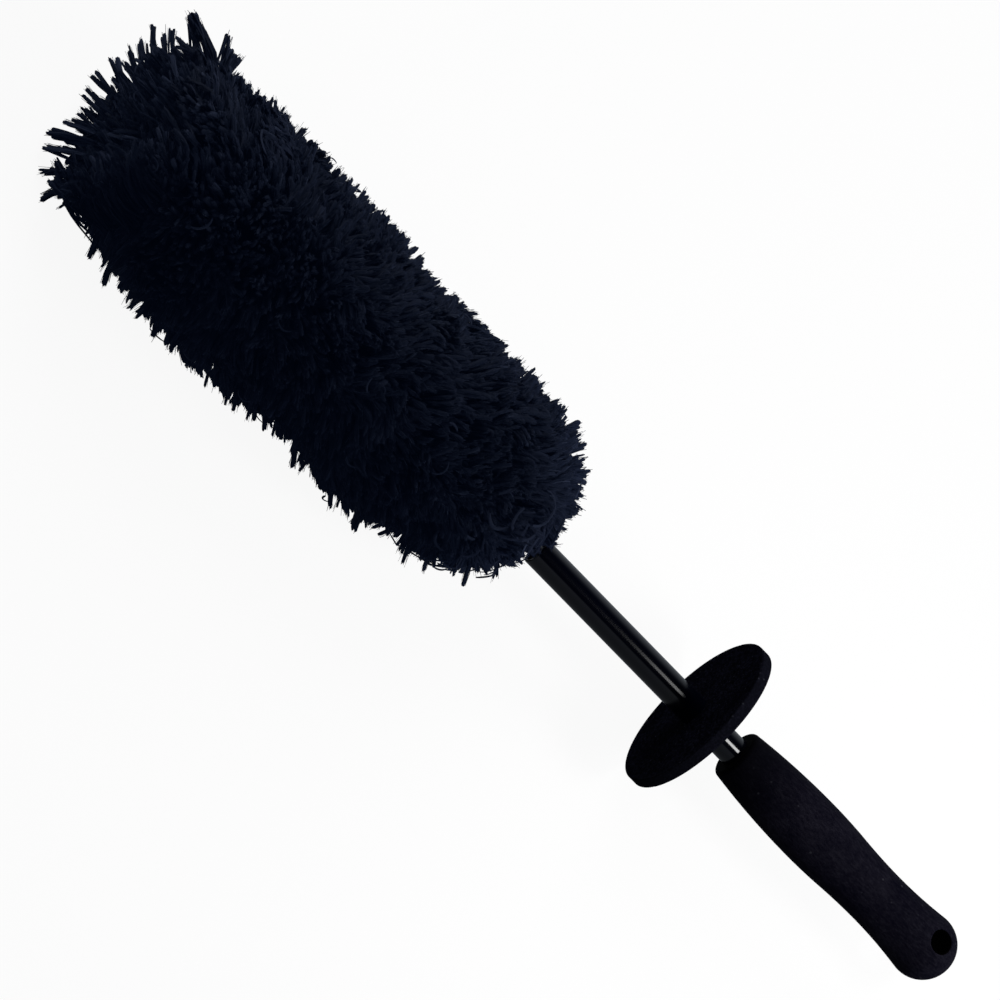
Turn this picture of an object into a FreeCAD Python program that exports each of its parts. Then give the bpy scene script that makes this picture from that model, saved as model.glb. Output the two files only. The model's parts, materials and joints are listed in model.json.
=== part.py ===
import FreeCAD, Part
import os
import Sketcher

# Long-reach wheel brush, in millimetres, as it lies on a table.
# The brush's axis runs along X: the pile's tip is at -X, the grip's end at +X, and +Z is up.
# The table is z = 0. The guard's rim and the pile's flattened underside rest on it, so the
# axis is half a guard diameter above it. The origin is the middle of the length, on the table.

# Driving dimensions: alias, value in millimetres, what it measures.
DIMENSIONS = [
    ("overall_length", 505.0, "pile tip to grip end"),
    ("shaft_diameter", 12.7, "outside of the shaft tube"),
    ("shaft_wall", 1.2, "wall of the shaft tube"),
    ("shaft_grip_depth", 97.9, "length of tube inside the grip"),
    ("mouth_edge", 0.3, "rounding of the tube's front lip"),
    ("fit_gap", 0.05, "radial gap of a glued or running fit"),
    ("pile_diameter", 94.0, "outside of the pile of yarn"),
    ("pile_length", 259.5, "pile tip to the pole of its rear dome"),
    ("pile_tip_length", 38.0, "length of the fanned tuft at the tip"),
    ("pile_tip_round", 12.0, "rounding of the tip's edge"),
    ("pile_bore", 6.2, "hole left round the twisted wires"),
    ("pile_clearance", 0.3, "gap between the yarn and a hard piece"),
    ("mouth_depth", 3.0, "how far the tube enters the pile"),
    ("guard_diameter", 74.0, "outside of the splash guard"),
    ("guard_thickness", 5.0, "thickness of the splash guard"),
    ("guard_edge", 0.5, "rounding of the guard's rim"),
    ("guard_setback", 19.6, "guard's rear face to the grip's front"),
    ("grip_length", 128.4, "length of the foam grip"),
    ("grip_front_radius", 11.2, "radius of the grip's front face"),
    ("grip_front_edge", 2.0, "rounding of the grip's front edge"),
    ("belly_offset", 45.2, "grip's front to its widest place"),
    ("belly_radius", 13.95, "radius at the widest place"),
    ("waist_offset", 86.2, "grip's front to its waist"),
    ("waist_radius", 12.35, "radius at the waist"),
    ("bulb_radius", 14.1, "radius of the round end"),
    ("hang_hole_inset", 13.4, "grip's end to the middle of the hanging hole"),
    ("hang_hole_diameter", 10.0, "hanging hole through the bulb"),
    ("hang_hole_edge", 0.6, "rounding of the hole's edges"),
    ("wire_diameter", 2.8, "one wire of the twisted core"),
    ("wire_spacing", 2.86, "between the centres of the two wires"),
    ("twist_pitch", 16.0, "length of one turn of the twist"),
    ("wire_end_gap", 1.0, "wire ends to the bottom of their blind holes"),
    ("cap_inset", 16.0, "pile tip to the front of the tip cap"),
    ("cap_diameter", 10.0, "outside of the tip cap"),
    ("cap_length", 14.0, "length of the tip cap"),
    ("cap_wall", 3.0, "material in front of the wire ends"),
    ("bush_recess", 1.5, "tube's mouth to the bush"),
    ("bush_length", 14.0, "length of the mouth bush"),
    ("anchor_recess", 24.0, "tube's mouth to the wire anchor"),
    ("anchor_length", 30.0, "length of the wire anchor"),
    ("anchor_wall", 6.0, "anchor behind the wire ends"),
    ("plug_length", 12.0, "plug's stem inside the tube"),
    ("plug_head", 2.0, "plug's head behind the tube"),
]

# Places along X, and sizes worked out from the driving dimensions.
AXIS_HEIGHT = "Dims.guard_diameter / 2"
PILE_TIP = "-Dims.overall_length / 2"
PILE_POLE = PILE_TIP + " + Dims.pile_length"
DOME_CENTRE = PILE_POLE + " - Dims.pile_diameter / 2"
PILE_BODY_START = PILE_TIP + " + Dims.pile_tip_length"
TUBE_MOUTH = PILE_POLE + " - Dims.mouth_depth"
CAP_FRONT = PILE_TIP + " + Dims.cap_inset"
ANCHOR_FRONT = TUBE_MOUTH + " + Dims.anchor_recess"
GRIP_FRONT = "Dims.overall_length / 2 - Dims.grip_length"
GUARD_FRONT = GRIP_FRONT + " - Dims.guard_setback - Dims.guard_thickness"
TUBE_END = GRIP_FRONT + " + Dims.shaft_grip_depth"
WIRE_START = CAP_FRONT + " + Dims.cap_wall + Dims.wire_end_gap"
WIRE_END = ANCHOR_FRONT + " + Dims.anchor_length - Dims.anchor_wall - Dims.wire_end_gap"

PILE_RADIUS = "Dims.pile_diameter / 2"
SHAFT_RADIUS = "Dims.shaft_diameter / 2"
TUBE_INSIDE = SHAFT_RADIUS + " - Dims.shaft_wall"
INSERT_RADIUS = TUBE_INSIDE + " - Dims.fit_gap"
WIRE_BORE = "Dims.pile_bore / 2"


def build_sheet(doc):
    """Write the driving dimensions to a spreadsheet, one aliased cell each."""
    sheet = doc.addObject("Spreadsheet::Sheet", "Dims")
    for row, (alias, value, meaning) in enumerate(DIMENSIONS, start=1):
        sheet.set("A%d" % row, meaning)
        sheet.set("B%d" % row, str(value))
        sheet.setAlias("B%d" % row, alias)
    doc.recompute()
    return sheet


def bind(feature, **expressions):
    """Bind properties to expressions. A name's double underscore stands for a dot."""
    for name, expression in expressions.items():
        feature.setExpression(name.replace("__", "."), expression)


def new_body(doc, label, x):
    """A body whose own Z axis is the brush's axis, with its origin at x. Its own X points down."""
    body = doc.addObject("PartDesign::Body", label)
    body.Label = label
    body.Placement = FreeCAD.Placement(
        FreeCAD.Vector(0, 0, 0), FreeCAD.Rotation(FreeCAD.Vector(0, 1, 0), 90)
    )
    bind(body, Placement__Base__x=x, Placement__Base__z=AXIS_HEIGHT)
    return body


def add_cylinder(body, name, radius, length, start="0"):
    """A round length of material on the body's axis."""
    solid = body.newObject("PartDesign::AdditiveCylinder", name)
    bind(solid, Radius=radius, Height=length, Placement__Base__z=start)
    return solid


def cut_cylinder(body, name, radius, length, start="0"):
    """A round hole on the body's axis."""
    hole = body.newObject("PartDesign::SubtractiveCylinder", name)
    bind(hole, Radius=radius, Height=length, Placement__Base__z=start)
    return hole


def circles_at(feature, z, radius):
    """Names of the feature's round edges of that radius at height z on its own axis."""
    names = []
    for index, edge in enumerate(feature.Shape.Edges, start=1):
        if edge.Degenerated or not isinstance(edge.Curve, Part.Circle):
            continue
        curve = edge.Curve
        if abs(curve.Radius - radius) < 1e-4 and abs(curve.Center.z - z) < 1e-4:
            names.append("Edge%d" % index)
    return names


def round_edges(body, base, edges, radius):
    """Round the named edges of a feature."""
    body.Document.recompute()
    fillet = body.newObject("PartDesign::Fillet", body.Label + "_round")
    fillet.Base = (base, edges)
    bind(fillet, Radius=radius)
    body.Tip = fillet
    return fillet


def flatten_underside(body, length):
    """Cut away what would lie below the table, where the yarn is pressed flat."""
    table = body.newObject("PartDesign::SubtractiveBox", body.Label + "_flat")
    bind(
        table,
        Length=PILE_RADIUS,
        Width="Dims.pile_diameter",
        Height=length,
        Placement__Base__x=AXIS_HEIGHT,
        Placement__Base__y="-" + PILE_RADIUS,
    )
    return table


def build_pile_tip(doc, dims):
    """The tuft that fans forward over the tip cap, with its pocket for the cap."""
    body = new_body(doc, "pile_tip", PILE_TIP)
    drum = add_cylinder(body, "tip_drum", PILE_RADIUS, "Dims.pile_tip_length")
    doc.recompute()
    front = circles_at(drum, 0, dims.pile_diameter / 2)
    round_edges(body, drum, front, "Dims.pile_tip_round")
    cut_cylinder(body, "tip_wire_bore", WIRE_BORE, "Dims.pile_tip_length - Dims.cap_inset",
                 "Dims.cap_inset")
    cut_cylinder(body, "tip_cap_pocket", "Dims.cap_diameter / 2 + Dims.pile_clearance",
                 "Dims.cap_length + Dims.pile_clearance * 2",
                 "Dims.cap_inset - Dims.pile_clearance")
    flatten_underside(body, "Dims.pile_tip_length")
    return body


def build_pile_body(doc):
    """The straight length of the pile round the twisted wires."""
    body = new_body(doc, "pile_body", PILE_BODY_START)
    length = "Dims.pile_length - Dims.pile_tip_length - " + PILE_RADIUS
    add_cylinder(body, "body_drum", PILE_RADIUS, length)
    cut_cylinder(body, "body_wire_bore", WIRE_BORE, length)
    flatten_underside(body, length)
    return body


def build_pile_rear(doc):
    """The domed crown of yarn that lies back round the tube's mouth."""
    body = new_body(doc, "pile_rear", DOME_CENTRE)
    dome = body.newObject("PartDesign::AdditiveSphere", "rear_dome")
    dome.Angle1 = 0
    dome.Angle2 = 90
    bind(dome, Radius=PILE_RADIUS)
    cut_cylinder(body, "rear_wire_bore", WIRE_BORE, PILE_RADIUS)
    cut_cylinder(body, "rear_tube_pocket", SHAFT_RADIUS + " + Dims.pile_clearance",
                 "Dims.mouth_depth * 2",
                 PILE_RADIUS + " - Dims.mouth_depth - Dims.pile_clearance")
    flatten_underside(body, PILE_RADIUS)
    return body


def build_shaft_tube(doc, dims):
    """The plastic tube from inside the pile's crown to inside the grip."""
    length = "(" + TUBE_END + ") - (" + TUBE_MOUTH + ")"
    body = new_body(doc, "shaft_tube", TUBE_MOUTH)
    add_cylinder(body, "tube_outside", SHAFT_RADIUS, length)
    inside = cut_cylinder(body, "tube_inside", TUBE_INSIDE, length)
    doc.recompute()
    outer_lip = circles_at(inside, 0, dims.shaft_diameter / 2)
    inner_lip = circles_at(inside, 0, dims.shaft_diameter / 2 - dims.shaft_wall)
    round_edges(body, inside, outer_lip + inner_lip, "Dims.mouth_edge")
    return body


def build_mouth_bush(doc):
    """The bush just inside the tube's mouth, which centres the wires."""
    body = new_body(doc, "mouth_bush", TUBE_MOUTH + " + Dims.bush_recess")
    add_cylinder(body, "bush_outside", INSERT_RADIUS, "Dims.bush_length")
    cut_cylinder(body, "bush_bore", WIRE_BORE, "Dims.bush_length")
    return body


def build_wire_anchor(doc):
    """The plug on the rear ends of the wires, glued in the tube."""
    body = new_body(doc, "wire_anchor", ANCHOR_FRONT)
    add_cylinder(body, "anchor_outside", INSERT_RADIUS, "Dims.anchor_length")
    cut_cylinder(body, "anchor_bore", WIRE_BORE, "Dims.anchor_length - Dims.anchor_wall")
    return body


def build_tip_cap(doc, dims):
    """The soft cap with a rounded nose over the front ends of the wires."""
    body = new_body(doc, "tip_cap", CAP_FRONT)
    outside = add_cylinder(body, "cap_outside", "Dims.cap_diameter / 2", "Dims.cap_length")
    doc.recompute()
    nose = circles_at(outside, 0, dims.cap_diameter / 2)
    round_edges(body, outside, nose, "Dims.cap_diameter * 0.4")
    cut_cylinder(body, "cap_bore", WIRE_BORE, "Dims.cap_length - Dims.cap_wall", "Dims.cap_wall")
    return body


def build_core_wire(doc, label, start_angle):
    """One wire of the twisted core: a round section swept along a helix on the brush's axis."""
    along_x = FreeCAD.Rotation(FreeCAD.Vector(0, 1, 0), 90)
    turned = along_x.multiply(FreeCAD.Rotation(FreeCAD.Vector(0, 0, 1), start_angle))
    helix_radius = "Dims.wire_spacing / 2"

    helix = doc.addObject("Part::Helix", label + "_path")
    helix.Placement = FreeCAD.Placement(FreeCAD.Vector(0, 0, 0), turned)
    bind(helix, Pitch="Dims.twist_pitch", Radius=helix_radius,
         Height="(" + WIRE_END + ") - (" + WIRE_START + ")",
         Placement__Base__x=WIRE_START, Placement__Base__z=AXIS_HEIGHT)

    # The section stands across the helix where it starts, tilted by the angle of the twist.
    sheet = doc.getObject("Dims")
    twist_angle = sheet.evalExpression("atan(pi * Dims.wire_spacing / Dims.twist_pitch)").Value
    tilted = turned.multiply(FreeCAD.Rotation(FreeCAD.Vector(1, 0, 0), -twist_angle))
    side = turned.multVec(FreeCAD.Vector(1, 0, 0))
    section = doc.addObject("Part::Circle", label + "_section")
    section.Placement = FreeCAD.Placement(FreeCAD.Vector(0, 0, 0), tilted)
    bind(section, Radius="Dims.wire_diameter / 2", Placement__Base__x=WIRE_START,
         Placement__Base__z="%s + (%s) * %.1f" % (AXIS_HEIGHT, helix_radius, side.z))
    doc.recompute()

    wire = doc.addObject("Part::Sweep", label)
    wire.Label = label
    wire.Sections = [section]
    wire.Spine = (helix, [])
    wire.Solid = True
    wire.Frenet = True
    return wire


def build_guard_disc(doc, dims):
    """The foam splash guard, which slides on the tube."""
    body = new_body(doc, "guard_disc", GUARD_FRONT)
    add_cylinder(body, "guard_outside", "Dims.guard_diameter / 2", "Dims.guard_thickness")
    bore = cut_cylinder(body, "guard_bore", SHAFT_RADIUS + " + Dims.fit_gap",
                        "Dims.guard_thickness")
    doc.recompute()
    rim = circles_at(bore, 0, dims.guard_diameter / 2)
    rim += circles_at(bore, dims.guard_thickness, dims.guard_diameter / 2)
    round_edges(body, bore, rim, "Dims.guard_edge")
    return body


def build_tube_end_plug(doc):
    """The plug in the rear end of the tube, with a head that covers the tube's edge."""
    body = new_body(doc, "tube_end_plug", TUBE_END)
    add_cylinder(body, "plug_stem", INSERT_RADIUS, "Dims.plug_length", "-Dims.plug_length")
    add_cylinder(body, "plug_flange", SHAFT_RADIUS, "Dims.plug_head")
    return body


def place_point(sketch, geometry, point, name, x=None, y=None):
    """Fix a point of a sketch's geometry at bound distances from the sketch's origin."""
    for kind, suffix, expression in (("DistanceX", "_x", x), ("DistanceY", "_y", y)):
        if expression is None:
            continue
        spot = sketch.getPoint(geometry, point)
        start = spot.x if kind == "DistanceX" else spot.y
        number = sketch.addConstraint(Sketcher.Constraint(kind, -1, 1, geometry, point, start))
        sketch.renameConstraint(number, name + suffix)
        sketch.setExpression("Constraints." + name + suffix, expression)


def end_nearest(sketch, geometry, spot):
    """Which end of a line or arc, 1 or 2, lies at a spot."""
    first = sketch.getPoint(geometry, 1).distanceToPoint(spot)
    last = sketch.getPoint(geometry, 2).distanceToPoint(spot)
    return 1 if first < last else 2


def draw_grip_outline(body, dims):
    """Half the grip's outline: radius along the sketch's X, distance from its front along Y.

    Tangent arcs run from the front edge over the belly, in to the waist and out to the bulb.
    Each list entry is a corner and the line or arc that leaves it. A bow is how far an arc's
    middle first stands out from its chord, before the tangents settle its radius.
    """
    bore_radius = dims.shaft_diameter / 2 + dims.fit_gap
    bore_depth = dims.shaft_grip_depth + dims.plug_head
    bulb_centre = dims.grip_length - dims.bulb_radius
    bow = (dims.belly_radius - dims.waist_radius) / 4
    corners = [
        ("front", dims.grip_front_radius, 0, bow),
        ("belly", dims.belly_radius, dims.belly_offset, bow),
        ("turn", (dims.belly_radius + dims.waist_radius) / 2,
         (dims.belly_offset + dims.waist_offset) / 2, -bow),
        ("waist", dims.waist_radius, dims.waist_offset, -bow),
        ("bulb", dims.bulb_radius, bulb_centre - dims.bulb_radius / 8, dims.bulb_radius / 3),
        ("end", 0, dims.grip_length, 0),
        ("bore_end", 0, bore_depth, 0),
        ("bore_corner", bore_radius, bore_depth, 0),
        ("bore_edge", bore_radius, 0, 0),
    ]
    sketch = body.newObject("Sketcher::SketchObject", "grip_outline")
    for plane in body.Origin.OriginFeatures:
        if plane.Role == "XZ_Plane":
            sketch.AttachmentSupport = [(plane, "")]
    sketch.MapMode = "FlatFace"

    spots = [FreeCAD.Vector(x, y, 0) for _, x, y, _ in corners]
    leaving = {}
    for number, (name, _, _, arc_bow) in enumerate(corners):
        first = spots[number]
        last = spots[(number + 1) % len(spots)]
        if arc_bow:
            along = (last - first).normalize()
            middle = (first + last) * 0.5 + FreeCAD.Vector(along.y, -along.x, 0) * arc_bow
            shape = Part.Arc(first, middle, last)
        else:
            shape = Part.LineSegment(first, last)
        leaving[name] = sketch.addGeometry(shape, False)

    names = [corner[0] for corner in corners]
    smooth = ("turn", "bulb")
    for number, name in enumerate(names):
        before = leaving[names[number - 1]]
        after = leaving[name]
        ends = (before, end_nearest(sketch, before, spots[number]),
                after, end_nearest(sketch, after, spots[number]))
        kind = "Tangent" if name in smooth else "Coincident"
        sketch.addConstraint(Sketcher.Constraint(kind, *ends))

    def corner_end(name):
        return leaving[name], end_nearest(sketch, leaving[name], spots[names.index(name)])

    bulb_place = "Dims.grip_length - Dims.bulb_radius"
    depth = "Dims.shaft_grip_depth + Dims.plug_head"
    place_point(sketch, *corner_end("front"), "front", "Dims.grip_front_radius", "0")
    place_point(sketch, *corner_end("belly"), "belly", "Dims.belly_radius", "Dims.belly_offset")
    place_point(sketch, *corner_end("turn"), "turn", None,
                "(Dims.belly_offset + Dims.waist_offset) / 2")
    place_point(sketch, *corner_end("waist"), "waist", "Dims.waist_radius", "Dims.waist_offset")
    place_point(sketch, leaving["bulb"], 3, "bulb_centre", "0", bulb_place)
    place_point(sketch, *corner_end("end"), "end", "0", "Dims.grip_length")
    place_point(sketch, *corner_end("bore_end"), "bore_end", "0", depth)
    place_point(sketch, *corner_end("bore_corner"), "bore_corner",
                SHAFT_RADIUS + " + Dims.fit_gap", depth)
    place_point(sketch, *corner_end("bore_edge"), "bore_edge",
                SHAFT_RADIUS + " + Dims.fit_gap", "0")
    for name, level in (("front", "belly"), ("belly", "belly"), ("turn", "waist"),
                        ("waist", "waist")):
        place_point(sketch, leaving[name], 3, name + "_centre", None, "Dims.%s_offset" % level)
    return sketch


def build_grip_foam(doc, dims):
    """The foam grip: waisted, with a blind bore for the tube and a hanging hole in its bulb."""
    body = new_body(doc, "grip_foam", GRIP_FRONT)
    outline = draw_grip_outline(body, dims)
    doc.recompute()
    turned = body.newObject("PartDesign::Revolution", "grip_turned")
    turned.Profile = outline
    turned.ReferenceAxis = (outline, ["V_Axis"])
    turned.Angle = 360
    doc.recompute()
    front = circles_at(turned, 0, dims.grip_front_radius)
    rounded = round_edges(body, turned, front, "Dims.grip_front_edge")

    # The hanging hole stands upright, across the grip, through the middle of the bulb.
    hole = body.newObject("PartDesign::SubtractiveCylinder", "hang_hole")
    hole.Placement = FreeCAD.Placement(
        FreeCAD.Vector(0, 0, 0), FreeCAD.Rotation(FreeCAD.Vector(0, 1, 0), 90)
    )
    bind(hole, Radius="Dims.hang_hole_diameter / 2", Height="Dims.bulb_radius * 4",
         Placement__Base__x="-Dims.bulb_radius * 2",
         Placement__Base__z="Dims.grip_length - Dims.hang_hole_inset")
    doc.recompute()
    edges = hole_edges(hole, dims)
    round_edges(body, hole, edges, "Dims.hang_hole_edge")
    return body


def hole_edges(hole, dims):
    """Names of the two closed edges where the hanging hole meets the bulb."""
    centre_z = dims.grip_length - dims.hang_hole_inset
    reach = dims.hang_hole_diameter / 2
    names = []
    for index, edge in enumerate(hole.Shape.Edges, start=1):
        box = edge.BoundBox
        inside = box.ZMin > centre_z - reach - 0.01 and box.ZMax < centre_z + reach + 0.01
        across = abs(box.YMax - box.YMin) > 0.1 and abs(box.XMax + box.XMin) > reach
        if inside and across:
            names.append("Edge%d" % index)
    return names


def check_objects(doc):
    """Stop if any object failed to build."""
    for item in doc.Objects:
        if "Invalid" in item.State or "Error" in item.State:
            raise RuntimeError("%s did not build: %s" % (item.Label, item.State))


def write_piece(piece):
    """Check one sub-part's shape and write it to its own file."""
    shape = piece.Shape
    if shape.isNull() or not shape.isValid():
        raise RuntimeError(piece.Label + " has no valid shape")
    if len(shape.Solids) != 1 or shape.Volume <= 0:
        raise RuntimeError(piece.Label + " is not one solid")
    shape.exportStep("parts/" + piece.Label + ".step")
    box = shape.optimalBoundingBox(False, False)
    print("%-14s %9.1f mm3   x %7.1f %7.1f   y %6.1f %6.1f   z %6.1f %6.1f" % (
        piece.Label, shape.Volume, box.XMin, box.XMax, box.YMin, box.YMax, box.ZMin, box.ZMax))


os.makedirs("parts", exist_ok=True)
document = FreeCAD.newDocument("wheel_brush")
sizes = build_sheet(document)
pieces = [
    build_pile_tip(document, sizes),
    build_pile_body(document),
    build_pile_rear(document),
    build_core_wire(document, "core_wire_a", 0),
    build_core_wire(document, "core_wire_b", 180),
    build_tip_cap(document, sizes),
    build_mouth_bush(document),
    build_wire_anchor(document),
    build_shaft_tube(document, sizes),
    build_tube_end_plug(document),
    build_guard_disc(document, sizes),
    build_grip_foam(document, sizes),
]
document.recompute()
check_objects(document)
for finished in pieces:
    write_piece(finished)
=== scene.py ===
import json
import math

import bpy
import numpy as np
from mathutils import Matrix, Vector
from mathutils.kdtree import KDTree


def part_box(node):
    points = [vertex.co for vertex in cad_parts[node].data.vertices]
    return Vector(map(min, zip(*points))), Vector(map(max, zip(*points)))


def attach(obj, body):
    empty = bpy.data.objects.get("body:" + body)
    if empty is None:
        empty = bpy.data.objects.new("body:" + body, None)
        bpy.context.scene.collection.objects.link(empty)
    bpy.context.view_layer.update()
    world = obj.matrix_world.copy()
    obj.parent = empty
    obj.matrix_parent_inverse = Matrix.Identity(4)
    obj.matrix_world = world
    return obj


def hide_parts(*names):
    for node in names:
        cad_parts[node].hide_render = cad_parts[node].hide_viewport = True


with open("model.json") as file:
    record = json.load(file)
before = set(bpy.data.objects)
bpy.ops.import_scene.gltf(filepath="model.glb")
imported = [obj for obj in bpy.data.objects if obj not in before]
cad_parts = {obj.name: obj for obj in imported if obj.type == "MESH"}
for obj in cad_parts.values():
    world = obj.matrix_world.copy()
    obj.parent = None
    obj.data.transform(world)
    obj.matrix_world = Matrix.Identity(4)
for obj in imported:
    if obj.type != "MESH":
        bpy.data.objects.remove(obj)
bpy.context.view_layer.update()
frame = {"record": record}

MM = 0.001


# ---------------------------------------------------------------------------
# Places and sizes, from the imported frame. The brush's axis runs along X at height AXIS_Z.
# ---------------------------------------------------------------------------

def box_of(node):
    """The low and high corners of a node's box, in metres."""
    low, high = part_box(node)
    return Vector(low), Vector(high)


def front_of(node):
    """Where a node starts along the axis."""
    return box_of(node)[0].x


def radius_of(node):
    """Half of a node's width."""
    low, high = box_of(node)
    return (high.y - low.y) / 2


guard_low, guard_high = box_of("guard_disc")
AXIS_Z = (guard_low.z + guard_high.z) / 2
GUARD_R = radius_of("guard_disc")
PILE_R = radius_of("pile_body")
TUBE_R = radius_of("shaft_tube")
TIP_X = front_of("pile_tip")
BODY_X = front_of("pile_body")
DOME_X = front_of("pile_rear")
MOUTH_X = front_of("shaft_tube")
GRIP_X = front_of("grip_foam")
TIP_ROUND = 12 * MM  # rounding of the tip's edge
hang_hole = next(mount for mount in frame["record"]["mounts"] if mount["name"] == "hang_hole")
HOLE_X = hang_hole["pos_m"][0]
HOLE_R = hang_hole["dims"]["r_mm"] * MM


# ---------------------------------------------------------------------------
# Camera: the brush's head leans towards the viewer, and its axis crosses the frame diagonally.
# ---------------------------------------------------------------------------

LEAN = math.radians(19.0)        # head towards the camera, out of the picture plane
ROLL = math.radians(29.0)        # hanging hole turned about the axis, away from the viewer
DIAGONAL = math.radians(45.655)  # brush axis below the picture's horizontal
FRAME_WIDTH = 0.3985             # metres across the picture, at the brush
LENS = 1200.0                    # millimetres; long, for a view with hardly any perspective
SENSOR = 36.0
LOOK_AT = Vector((-21.8 * MM, 0, AXIS_Z))
LOOK_OFFSET = 3.56 * MM          # from the axis to the middle of the picture, towards SIDE

TOWARDS = Vector((
    -math.sin(LEAN),
    -math.cos(LEAN) * math.sin(ROLL),
    math.cos(LEAN) * math.cos(ROLL),
))
ALONG = Vector((
    math.cos(LEAN),
    -math.sin(LEAN) * math.sin(ROLL),
    math.sin(LEAN) * math.cos(ROLL),
))
SIDE = Vector((0, math.cos(ROLL), math.sin(ROLL)))


def make_camera():
    right = ALONG * math.cos(DIAGONAL) + SIDE * math.sin(DIAGONAL)
    up = -ALONG * math.sin(DIAGONAL) + SIDE * math.cos(DIAGONAL)
    data = bpy.data.cameras.new("camera")
    data.lens = LENS
    data.sensor_width = SENSOR
    data.clip_start = 0.1
    data.clip_end = 100
    camera = bpy.data.objects.new("camera", data)
    place = LOOK_AT + SIDE * LOOK_OFFSET + TOWARDS * (FRAME_WIDTH * LENS / SENSOR)
    axes = Matrix((right, up, TOWARDS)).transposed().to_4x4()
    camera.matrix_world = Matrix.Translation(place) @ axes
    bpy.context.scene.collection.objects.link(camera)
    bpy.context.scene.camera = camera
    return camera


make_camera()


# ---------------------------------------------------------------------------
# Materials
# ---------------------------------------------------------------------------

def new_material(name, **values):
    """A principled material with its constant values set on the shader's own sockets."""
    material = bpy.data.materials.new(name)
    material.use_nodes = True
    shader = material.node_tree.nodes["Principled BSDF"]
    for socket, value in values.items():
        shader.inputs[socket.replace("_", " ")].default_value = value
    return material, material.node_tree, shader


def colour_ramp(tree, source, stops):
    """A ramp from a 0 to 1 value to colours, given as (place, (r, g, b))."""
    ramp = tree.nodes.new("ShaderNodeValToRGB")
    elements = ramp.color_ramp.elements
    while len(elements) < len(stops):
        elements.new(0.5)
    for element, (place, colour) in zip(elements, stops):
        element.position = place
        element.color = (*colour, 1)
    tree.links.new(source, ramp.inputs["Fac"])
    return ramp.outputs["Color"]


def object_coordinates(tree, scale=(1, 1, 1)):
    coordinates = tree.nodes.new("ShaderNodeTexCoord")
    mapping = tree.nodes.new("ShaderNodeMapping")
    mapping.inputs["Scale"].default_value = scale
    tree.links.new(coordinates.outputs["Object"], mapping.inputs["Vector"])
    return mapping.outputs["Vector"]


def noise(tree, vector, scale, detail=3.0, roughness=0.55):
    node = tree.nodes.new("ShaderNodeTexNoise")
    node.inputs["Scale"].default_value = scale
    node.inputs["Detail"].default_value = detail
    node.inputs["Roughness"].default_value = roughness
    tree.links.new(vector, node.inputs["Vector"])
    return node.outputs["Fac"]


def bump(tree, shader, height, strength, distance):
    node = tree.nodes.new("ShaderNodeBump")
    node.inputs["Strength"].default_value = strength
    node.inputs["Distance"].default_value = distance
    tree.links.new(height, node.inputs["Height"])
    tree.links.new(node.outputs["Normal"], shader.inputs["Normal"])


def yarn_material():
    """Navy-black microfibre yarn: each yarn a slightly other tone, with fine streaks along it."""
    material, tree, shader = new_material(
        "yarn",
        Roughness=0.65,
        Specular_IOR_Level=0.06,
        Specular_Tint=(0.75, 0.85, 1.0, 1.0),
        Sheen_Weight=0.03,
        Sheen_Roughness=0.6,
        Sheen_Tint=(0.30, 0.45, 1.0, 1.0),
        Emission_Color=(0.00022, 0.00075, 0.0027, 1.0),  # painted glow, standing in for light that filters through the fibres
        Emission_Strength=1.0,
    )
    tone = tree.nodes.new("ShaderNodeAttribute")
    tone.attribute_name = "tone"
    thread = tree.nodes.new("ShaderNodeAttribute")
    thread.attribute_name = "thread"
    spread = tree.nodes.new("ShaderNodeMapping")
    spread.inputs["Scale"].default_value = (1, 1.6, 3)
    tree.links.new(thread.outputs["Vector"], spread.inputs["Vector"])
    streak = tree.nodes.new("ShaderNodeMath")
    streak.operation = "MULTIPLY_ADD"
    streak.inputs[1].default_value = 0.35
    tree.links.new(noise(tree, spread.outputs["Vector"], 1.0, detail=2.0), streak.inputs[0])
    tree.links.new(tone.outputs["Fac"], streak.inputs[2])
    colour = colour_ramp(tree, streak.outputs[0], (
        (0.25, (0.0006, 0.0011, 0.0035)),
        (0.70, (0.0040, 0.0055, 0.0120)),
        (0.95, (0.0120, 0.0155, 0.0290)),
        (1.0, (0.0240, 0.0300, 0.0520)),
    ))
    tree.links.new(colour, shader.inputs["Base Color"])
    return material


def core_material():
    """The matted roots of the yarn, deep inside the pile."""
    material, tree, shader = new_material(
        "yarn_roots",
        Roughness=0.9,
        Specular_IOR_Level=0.1,
        # painted glow, standing in for light that filters through the matted roots
        Emission_Color=(0.00020, 0.00062, 0.0023, 1.0),
        Emission_Strength=1.0,
    )
    vector = object_coordinates(tree)
    colour = colour_ramp(tree, noise(tree, vector, 900), (
        (0.3, (0.0010, 0.0024, 0.0100)),
        (0.7, (0.0020, 0.0045, 0.0180)),
    ))
    tree.links.new(colour, shader.inputs["Base Color"])
    return material


def shaft_material():
    """Glossy blue-black plastic tube with fine drawn lines along it."""
    material, tree, shader = new_material("shaft_gloss", Specular_IOR_Level=0.5)
    vector = object_coordinates(tree, (6, 900, 900))
    lines = noise(tree, vector, 1.0, detail=2.0)
    colour = colour_ramp(tree, lines, (
        (0.35, (0.0001, 0.0004, 0.0026)),
        (0.65, (0.0002, 0.0006, 0.0036)),
    ))
    tree.links.new(colour, shader.inputs["Base Color"])
    rough = tree.nodes.new("ShaderNodeMapRange")
    rough.inputs["To Min"].default_value = 0.11
    rough.inputs["To Max"].default_value = 0.14
    tree.links.new(lines, rough.inputs["Value"])
    tree.links.new(rough.outputs["Result"], shader.inputs["Roughness"])
    return material


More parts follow.
